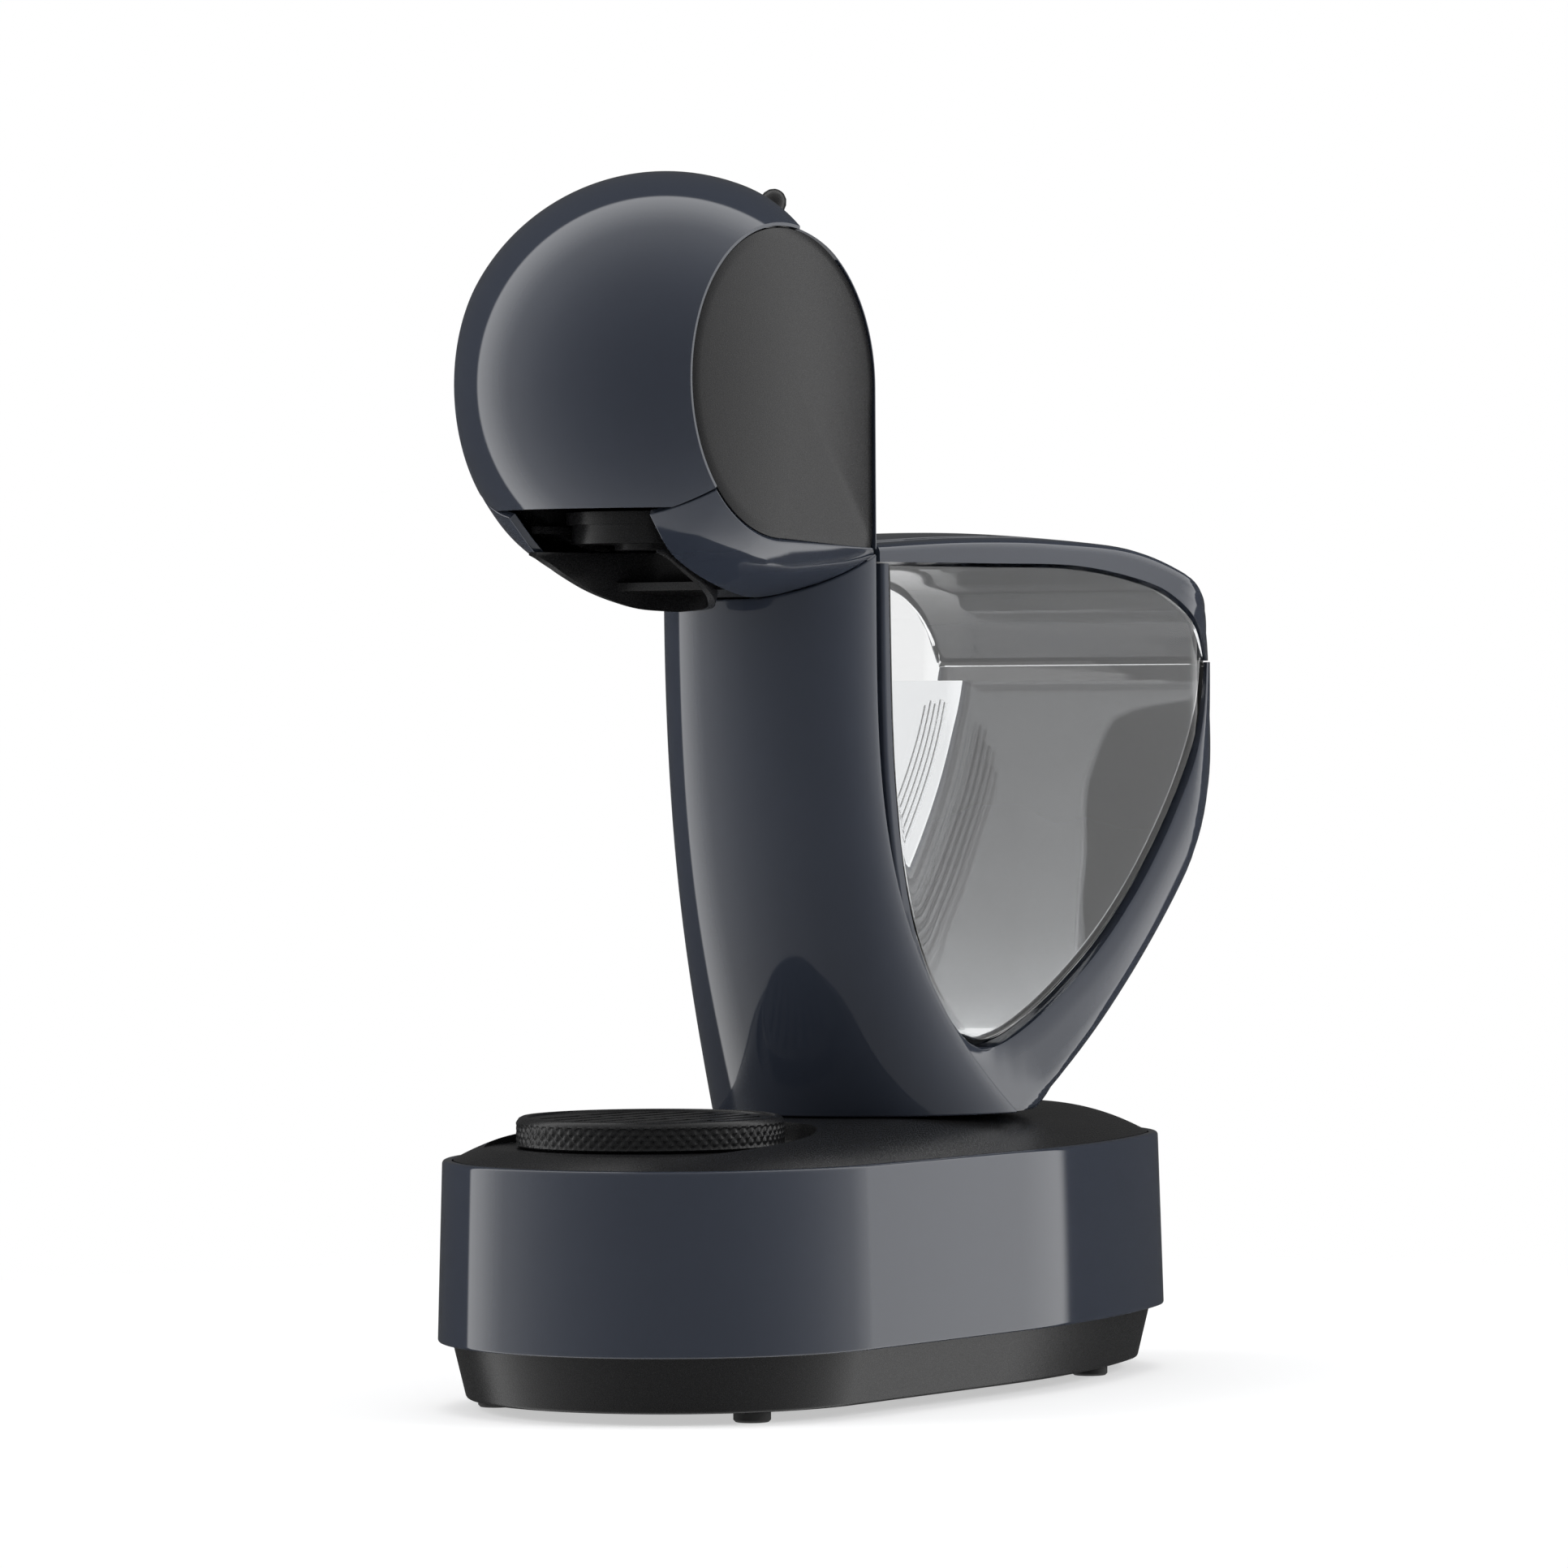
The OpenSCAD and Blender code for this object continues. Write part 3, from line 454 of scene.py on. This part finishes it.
def loop_ring(p, q, r):
    """The loop's section between its inner and outer edge, rounded by r at the outer one."""
    d = (q - p).length
    side = []
    for u in (0, 0.04, 0.3, 0.55, 0.68, 0.78, 0.86, 0.92, 0.96, 0.985, 1):
        m = p.lerp(q, u)
        drop = rounding(r, (1 - u) * d)
        side.append((loop_half(m.x, m.y) - drop - (0.4 if u == 0 else 0), m.x, max(m.y, LOW + 0.1)))
    return side + [(-x, y, z) for x, y, z in reversed(side)]


def add_column():
    """The column's front skin, and the loop that runs from it under and behind the tank."""
    rows, cols, wall = 64, 72, 2.6
    outer, inner = ([[nose_point(r / rows, -90 + 180 * c / cols, inset) for c in range(cols + 1)]
                     for r in range(rows + 1)] for inset in (0, wall))
    dress(skin("column_skin", outer, inner), "gloss_slate", "machine", ["column_shell"], bevel=0.6)
    n = len(LOOP_IN) - 1
    least, most = 1, 14  # the outer edge is sharp at the column and the lid, and round between them
    rings = []
    for k in range(n + 1):
        swell = max(0, math.sin(2 * math.pi * (k / n - 0.5)))
        rings.append(loop_ring(LOOP_IN[k], LOOP_OUT[k], least + (most - least) * swell))
    dress(loft("loop_skin", rings), "gloss_slate", "machine", ["loop_frame"], bevel=0.0, angle=55)


LID_LOW = 200.4
LID_OVER = curve([(-24, 233.6), (10, 235.6), (50, 236.5), (88, 234), (113, 226.6), (129.5, 216.4),
                  (135.6, 206.8), (137, LID_LOW)], 8)
LID_UNDER = curve([(-24, 227.3), (20, 227.3), (60.2, 226.9), (90.3, 222.7), (104.6, 217.6),
                   (113.8, 210.6), (119.4, LID_LOW)], 8)


def add_lid():
    """The tank's lid: crowned across, rounded at its sides, with a pair of fine grooves along each side."""
    steps, groove = 56, 0.8
    crown = 2.6 / 40 ** 2  # it sags 2.6 at 40 from the middle
    rings = []
    for i, (p, q) in enumerate(zip(resample(LID_UNDER, steps), resample(LID_OVER, steps))):
        share = i / steps
        # the side's rounding grows to the rear and shrinks again towards the low end
        round_r = 2.4 + 2.6 * share - 4.0 * max(0, (share - 0.75) / 0.25)
        d = (q - p).length
        rise = (q - p).normalized()
        side = []
        for u in (0, 0.3, 0.6, 0.8, 0.9, 0.96, 1):
            m = p.lerp(q, u)
            half = plan_half(m.x) - rounding(round_r, (1 - u) * d)
            sag = rise * (-crown * half * half * u)
            side.append((half, m.x + sag.x, m.y + sag.y))
        edge = side[-1][0]
        over = []
        marks = [edge * k / 14 for k in range(13, -14, -1)]
        grooves = [edge - 4.2, edge - 7.4]
        for g in grooves:
            marks += [way * (g + o) for way in (1, -1) for o in (-0.9, -0.4, 0.4, 0.9)]
        for x in sorted(marks, reverse=True):
            deep = any(abs(abs(x) - g) < 0.5 for g in grooves)
            sag = rise * (-crown * x * x - (groove if deep else 0))
            over.append((x, q.x + sag.x, q.y + sag.y))
        rings.append(side + over + [(-x, y, z) for x, y, z in reversed(side)])
    lid = loft("tank_lid_skin", rings)
    carve(lid, drum("tool", 0, BALL.y, 190, 260, BALL_R + 0.8))  # room for the head
    dress(lid, "gloss_slate", "lid", ["tank_lid"], bevel=0.0, angle=40)


TANK_GAP, TANK_SIDE, LID_GAP = 1.1, 1.0, 1.1
TANK_WALL, TANK_ROUND, TANK_INNER_ROUND = 2.1, 3.0, 1.2
WATER_TOP, WATER_GAP = 195, 0.15


def under_lid(y):
    """Height of the lid's underside at y."""
    for a, b in zip(LID_UNDER, LID_UNDER[1:]):
        if a.x <= y <= b.x:
            return a.y + (b.y - a.y) * (y - a.x) / (b.x - a.x)
    return LID_LOW


def inset_curve(d):
    """The loop's inner edge, moved inwards by d."""
    out = []
    for i, p in enumerate(LOOP_IN):
        along = (LOOP_IN[min(i + 1, len(LOOP_IN) - 1)] - LOOP_IN[max(i - 1, 0)]).normalized()
        out.append(Vector((p.x - along.y * d, p.y + along.x * d)))
    return out


def trough(d, side, r, top):
    """Rows of points from one side's top edge, under the bottom, to the other side's: one row at each y."""
    rows = []
    for p in inset_curve(d):
        crown = top(p.x)
        low_z = min(p.y, crown - 0.2)
        half = plan_half(p.x) - side
        rr = min(r, (crown - low_z) * 0.5)
        line = [(half, p.x, crown + (low_z + rr - crown) * k / 10) for k in range(10)]
        line += [(half - rr + rr * math.cos(a), p.x, low_z + rr - rr * math.sin(a))
                 for a in [math.pi / 2 * k / 5 for k in range(6)]]
        line += [(half * f, p.x, low_z) for f in (0.6, 0.3)]
        rows.append(line + [(0, p.x, low_z)] + [(-x, y, z) for x, y, z in reversed(line)])
    return rows


def flatten(obj):
    """Keeps large flat faces flat where they run into a small round."""
    even = obj.modifiers.new("even", "WEIGHTED_NORMAL")
    even.weight = 90
    even.keep_sharp = True


def add_tank():
    """The clear tank, five fine ribs on its far wall, and water to about three quarters of its height."""
    def brim(y):
        return under_lid(y) - LID_GAP

    def level(y):
        return min(WATER_TOP, brim(y))
    outer = trough(TANK_GAP, TANK_SIDE, TANK_ROUND, brim)
    inner = trough(TANK_GAP + TANK_WALL, TANK_SIDE + TANK_WALL, TANK_INNER_ROUND, brim)
    tank = skin("tank_shell", outer, inner)
    dress(tank, "clear_plastic", "tank", ["tank"], bevel=0, angle=40)
    flatten(tank)
    line = [p for p in inset_curve(1.0) if p.x > 20]
    first, pitch, half, deep = 9, 2.6, 0.45, 0.9
    for k in range(5):
        rings = []
        for p, q in zip(line, line[1:]):
            away = Vector((q.y - p.y, p.x - q.x)).normalized()
            m = p - away * (first + pitch * k)
            if m.y < WATER_TOP - 5:
                x = plan_half(m.x) - 2.9
                a, b = m + away * half, m - away * half
                rings.append([(-x, a.x, a.y), (-x, b.x, b.y), (-x + deep, b.x, b.y), (-x + deep, a.x, a.y)])
        dress(loft("tank_rib_%d" % (k + 1), rings), "clear_plastic", "tank", bevel=0)
    inside = TANK_WALL + WATER_GAP
    rows = trough(TANK_GAP + inside, TANK_SIDE + inside, TANK_INNER_ROUND, level)
    water = loft("water", [row for row in rows if row[0][2] - row[len(row) // 2][2] > 0.4])
    dress(water, "clear_plastic", "tank", bevel=0, angle=40)
    flatten(water)
    water.data.materials.clear()
    water.data.materials.append(WATER)


# ---------- head ----------

def add_handle():
    """The ball's skin, cut level at the bottom, and the two side webs that it turns on."""
    cut, low, high, half_x = 33.4, -42.0, 100.0, 39.1  # the angles run from the front, low to high
    xs = [half_x * math.sin(math.pi / 2 * k / 30) for k in range(-30, 31)]

    def row(f, radius, lip):
        out = []
        for x in xs:
            r = max(math.sqrt(radius ** 2 - x * x), lip)
            start = max(low, -math.degrees(math.asin(min(1, cut / r))))
            a = math.radians(start + (high - start) * f)
            out.append((x, BALL.y - r * math.cos(a), BALL.z + r * math.sin(a)))
        return out
    steps = 96
    inner_r, lip_r = 55.2, 41.7
    outer = [row(f / steps, BALL_R, 0) for f in range(steps + 1)]
    inner = [row(f / steps, inner_r, lip_r) for f in range(steps + 1)]
    dress(skin("handle_skin", outer, inner), "gloss_slate", "handle", ["handle_shell"], bevel=0.45)
    for name, s in (("handle_web_left", -1), ("handle_web_right", 1)):
        rings = []
        for k in range(steps // 2 + 1):
            a = math.radians(low + (high - low) * k / (steps // 2))
            rings.append([(s * x, BALL.y - r * math.cos(a), BALL.z + r * math.sin(a))
                          for r, x in ((11, 33.3), (44, 33.3), (44, 35.8), (11, 35.8))])
        dress(loft(name, rings), "gloss_slate", "handle", bevel=0)


def add_under_head():
    """The cheeks and collar as one smooth skin from the side panels down to the column's crease."""
    seam_x, seam_r, rear_y, drop = 39.0, 42.4, 40.8, 1.2
    seam = [Vector((seam_x, -seam_r * math.cos(math.radians(a)), -seam_r * math.sin(math.radians(a))))
            for a in [43 + (90 - 43) * k / 24 for k in range(25)]]
    seam += [Vector((seam_x, rear_y * k / 16, -seam_r - drop * k / 16)) for k in range(1, 17)]
    lead = [Vector(p) for p in (
        (23.2, -39.5, -35.3), (22.2, -30.5, -43.9), (21.9, -23.4, -48.1), (21.5, -12.5, -52.2),
        (20.5, 0, -55.2), (17, 14, -56.6))]
    for a in (25, 38, 50, 62, 74, 84):
        r = math.radians(a)
        y = EDGE_Y - NOSE_DEEP * math.cos(r)
        lead.append(Vector((NECK_X * math.sin(r), y - BALL.y, crease(y) + 0.3 - BALL.z)))
    upper = resample(seam, 60)
    lower = resample(curve(lead, 8), 60)
    rows, wall, bulge = 18, 2.2, 0.4
    for name, s, node in (
        ("under_head_right", 1, ["cheek_right", "neck_collar"]), ("under_head_left", -1, ["cheek_left"]),
    ):
        outer, inner = [], []
        for u, b in zip(upper, lower):
            line, back = [], []
            for k in range(rows + 1):
                t = k / rows
                way = u.normalized().slerp(b.normalized(), t)
                size = u.length + (b.length - u.length) * t + bulge * math.sin(math.pi * t)
                for store, r in ((line, size), (back, size - wall)):
                    p = way * r
                    store.append((s * p.x, BALL.y + p.y, BALL.z + p.z))
            outer.append(line)
            inner.append(back)
        dress(skin(name, outer, inner), "gloss_slate", "machine", node, bevel=0.4)
    across = (-0.98, -0.4, 0.4, 0.98)
    rings = [[(b.x * f, BALL.y + b.y, BALL.z + b.z + 0.2) for f in across]
             + [(b.x * f, BALL.y + b.y, BALL.z + b.z + 2.4) for f in reversed(across)]
             for b in lower if -4 < b.y < 34]
    dress(loft("under_head_plate", rings), "matte_black", "machine", bevel=0)


def add_panels():
    """The two matte side panels: a low dome inside the head's round seam, cut straight towards the tank."""
    turns, rows = 144, 14
    radius, back_x, edge_x, dome, flat_y, slope = 41.3, 36.9, 38.9, 3.2, 40.75, 0.0552

    def reach(a):
        if a <= math.pi * 1.5:
            return radius
        run, drop = math.cos(a), -math.sin(a)
        return max(radius, min(flat_y / max(run, 1e-6), radius / max(1e-6, drop - slope * run)))
    profile = [(0.01, back_x), (0.6, back_x), (0.985, back_x), (1.0, 37.2), (1.0, 38.6), (0.993, 38.85)]
    profile += [(1 - k / rows, edge_x + dome * (1 - (1 - k / rows) ** 2)) for k in range(1, rows)]
    profile += [(0.01, edge_x + dome)]
    marks = [2 * math.pi * k / turns for k in range(turns)]
    for name, s, node in (("side_panel_right", 1, "panel_right"), ("side_panel_left", -1, "panel_left")):
        rings = [[(s * x, BALL.y + reach(a) * f * math.cos(a), BALL.z + reach(a) * f * math.sin(a))
                  for a in marks] for f, x in profile]
        dress(loft(name, rings), "matte_black", "machine", [node], bevel=0)


def add_knob():
    """The rounded end of the selector lever, along the lever's own line."""
    line = Vector((6.6, 37.6, 48.1)).normalized()
    across = line.cross(Vector((0, 0, 1))).normalized()
    other = line.cross(across)
    rings = []
    for r, size in (
        (58.4, 2.6), (59.2, 3.1), (60.5, 3.4), (62.5, 3.6), (64.6, 3.7), (66.2, 3.5), (67.5, 2.9),
        (68.4, 2.0), (68.8, 1.0), (68.9, 0.2),
    ):
        rings.append([tuple(BALL + line * r + (across * math.cos(a) + other * math.sin(a)) * size)
                      for a in [2 * math.pi * k / 40 for k in range(40)]])
    dress(loft("selector_knob", rings), "matte_black", "lever", bevel=0, angle=60)


def add_guard():
    """The hood round the outlet: a bowl open to the front, whose rim curves down to the back."""
    half_x, front_y, long, top_z, wall = 21, -33.5, 45.5, -44.4, 1.9  # y and z are from the ball's centre
    hub_y, bulge, steps = -9.3, 2.5, 12
    rim = curve([(21.3, front_y, -45.2), (21.4, -28, -47), (21.2, -20, -50.5), (20.2, -10, -54.5),
                 (17, -2, -57.5), (11.6, 4, -59.6), (0, 6.5, -60.4)], 8)
    whole = rim + [Vector((-p.x, p.y, p.z)) for p in reversed(rim[:-1])]
    n = len(whole) - 1
    outer, inner = [], []
    for i, g in enumerate(whole):
        f = abs(2 * i / n - 1)
        a = math.pi * (1 - i / n)
        top_x = -half_x * math.cos(a) if f < 0.98 else math.copysign(half_x, g.x)
        top = Vector((top_x, front_y + long * math.sin(a) ** 0.5, top_z))
        line, back = [], []
        for k in range(steps + 1):
            t = k / steps
            p = top.lerp(g, t)
            p.y += bulge * math.sin(math.pi * t) * (1 - f)
            inward = Vector((-p.x, hub_y - p.y, 0))
            q = p + (inward.normalized() * wall if inward.length > 2 else Vector((0, 0, 0)))
            line.append((p.x, BALL.y + p.y, BALL.z + p.z))
            back.append((q.x, BALL.y + q.y, BALL.z + q.z))
        outer.append(line)
        inner.append(back)
    dress(skin("splash_guard_bowl", outer, inner), "matte_black", "machine", ["splash_guard"], bevel=0)


# large nodes that are replaced below, so their edges need no rounding
REPLACED_LARGE = ("tank_lid", "column_shell", "loop_frame", "base_top", "base_band")
for name, obj in frame["nodes"].items():
    soften(obj, 0.0 if name in REPLACED_LARGE else 0.3, 32)

add_base()
add_ring()
add_column()
add_lid()
add_tank()
add_handle()
add_under_head()
add_guard()
add_panels()
add_knob()


# ---------- light and floor ----------

def area_light(name, spot, aim, size, power):
    """A softbox that lights the object but shows neither in gloss nor through clear plastic."""
    data = bpy.data.lights.new(name, "AREA")
    data.shape = "RECTANGLE"
    data.size, data.size_y = size
    data.energy = power
    obj = bpy.data.objects.new(name, data)
    obj.location = spot
    obj.rotation_euler = (Vector(aim) - Vector(spot)).to_track_quat("-Z", "Y").to_euler()
    obj.visible_glossy = False
    obj.visible_transmission = False
    bpy.context.scene.collection.objects.link(obj)


FRONT = (0.5807, -0.8141, 0.0)  # towards the photograph's camera, but fixed: other views don't turn it
# brightness against direction: 0 is straight away from FRONT, 0.5 is square to it and 1 is along it
SURROUND = [(0.0, 0.07), (0.24, 0.1), (0.252, 2.0), (0.337, 1.75), (0.413, 1.3), (0.474, 0.95), (0.67, 0.55),
            (0.8, 0.36), (0.93, 0.24), (1.0, 0.2)]


def surround(tree, vector):
    """What gloss reflects: bright softboxes at the sides, dark cards behind them and a dim room in front."""
    near = tree.nodes.new("ShaderNodeVectorMath")
    near.operation = "NORMALIZE"
    turn = tree.nodes.new("ShaderNodeVectorMath")
    turn.operation = "DOT_PRODUCT"
    turn.inputs[1].default_value = FRONT
    share = tree.nodes.new("ShaderNodeMapRange")
    share.inputs["From Min"].default_value = -1.0
    ramp = tree.nodes.new("ShaderNodeValToRGB")
    marks = ramp.color_ramp.elements
    while len(marks) < len(SURROUND):
        marks.new(0.5)
    for mark, (share_at, level) in zip(marks, SURROUND):
        mark.position = share_at
        mark.color = (level, level, level, 1)
    link = tree.links.new
    link(vector, near.inputs[0])
    link(near.outputs["Vector"], turn.inputs[0])
    link(turn.outputs["Value"], share.inputs["Value"])
    link(share.outputs["Result"], ramp.inputs["Fac"])
    return ramp.outputs["Color"]


def combined(tree, operation, a, b):
    """Two values combined and kept between 0 and 1."""
    node = tree.nodes.new("ShaderNodeMath")
    node.operation = operation
    node.use_clamp = True
    tree.links.new(a, node.inputs[0])
    tree.links.new(b, node.inputs[1])
    return node.outputs["Value"]


def blended(tree, fac, a, b):
    """Shader a where fac is 0 and shader b where it is 1."""
    mix = tree.nodes.new("ShaderNodeMixShader")
    tree.links.new(fac, mix.inputs["Fac"])
    tree.links.new(a, mix.inputs[1])
    tree.links.new(b, mix.inputs[2])
    return mix.outputs["Shader"]


def add_world():
    """White to the camera and through clear plastic, the studio to gloss, a soft grey light for the rest."""
    world = bpy.data.worlds.new("studio")
    world.use_nodes = True
    tree = world.node_tree
    back = tree.nodes["Background"]
    back.inputs["Color"].default_value = (0.38, 0.385, 0.4, 1)
    pale = tree.nodes.new("ShaderNodeBackground")
    pale.inputs["Color"].default_value = (1, 1, 1, 1)
    walls = tree.nodes.new("ShaderNodeBackground")
    where = tree.nodes.new("ShaderNodeTexCoord")
    tree.links.new(surround(tree, where.outputs["Generated"]), walls.inputs["Color"])
    path = tree.nodes.new("ShaderNodeLightPath")
    through = path.outputs["Is Transmission Ray"]
    seen = combined(tree, "MAXIMUM", path.outputs["Is Camera Ray"], through)
    plain = blended(tree, seen, back.outputs["Background"], pale.outputs["Background"])
    # a ray that went through clear plastic counts as glossy too, and has to see the plain background
    mirrored = combined(tree, "SUBTRACT", path.outputs["Is Glossy Ray"], through)
    full = blended(tree, mirrored, plain, walls.outputs["Background"])
    tree.links.new(full, tree.nodes["World Output"].inputs["Surface"])
    bpy.context.scene.world = world
    bpy.context.scene.view_settings.view_transform = "Standard"


def add_floor():
    """A pale floor that keeps the object's shadow near it and fades to white away from it."""
    mesh = bpy.data.meshes.new("floor")
    half = 6.0
    corners = [(-half, -half, 0), (half, -half, 0), (half, half, 0), (-half, half, 0)]
    mesh.from_pydata(corners, [], [(0, 1, 2, 3)])
    floor = bpy.data.objects.new("floor", mesh)
    bpy.context.scene.collection.objects.link(floor)
    mat = bpy.data.materials.new("floor")
    mat.use_nodes = True
    tree = mat.node_tree
    bsdf = tree.nodes["Principled BSDF"]
    bsdf.inputs["Base Color"].default_value = (0.95, 0.95, 0.95, 1)
    bsdf.inputs["Roughness"].default_value = 0.6
    glow = tree.nodes.new("ShaderNodeEmission")
    where = tree.nodes.new("ShaderNodeTexCoord")
    far = tree.nodes.new("ShaderNodeVectorMath")
    far.operation = "LENGTH"
    ramp = tree.nodes.new("ShaderNodeMapRange")
    ramp.inputs["From Min"].default_value = 0.14
    ramp.inputs["From Max"].default_value = 0.5
    ramp.inputs["To Min"].default_value = 0.5
    path = tree.nodes.new("ShaderNodeLightPath")
    link = tree.links.new
    link(where.outputs["Object"], far.inputs[0])
    link(far.outputs["Value"], ramp.inputs["Value"])
    direct = combined(tree, "MAXIMUM", path.outputs["Is Camera Ray"], path.outputs["Is Transmission Ray"])
    seen = combined(tree, "MULTIPLY", ramp.outputs["Result"], direct)
    plain = blended(tree, seen, bsdf.outputs["BSDF"], glow.outputs["Emission"])
    link(plain, tree.nodes["Material Output"].inputs["Surface"])
    mesh.materials.append(mat)
    floor.visible_glossy = False


add_world()
add_floor()
area_light("left", (-1.5, -1.3, 1.0), (0, 0, 0.2), (1.2, 1.6), 36)
area_light("right", (1.8, 0.9, 1.0), (0, 0, 0.2), (1.2, 1.6), 36)
area_light("top", (0, 0, 2.4), (0, 0, 0), (2.0, 2.0), 45)
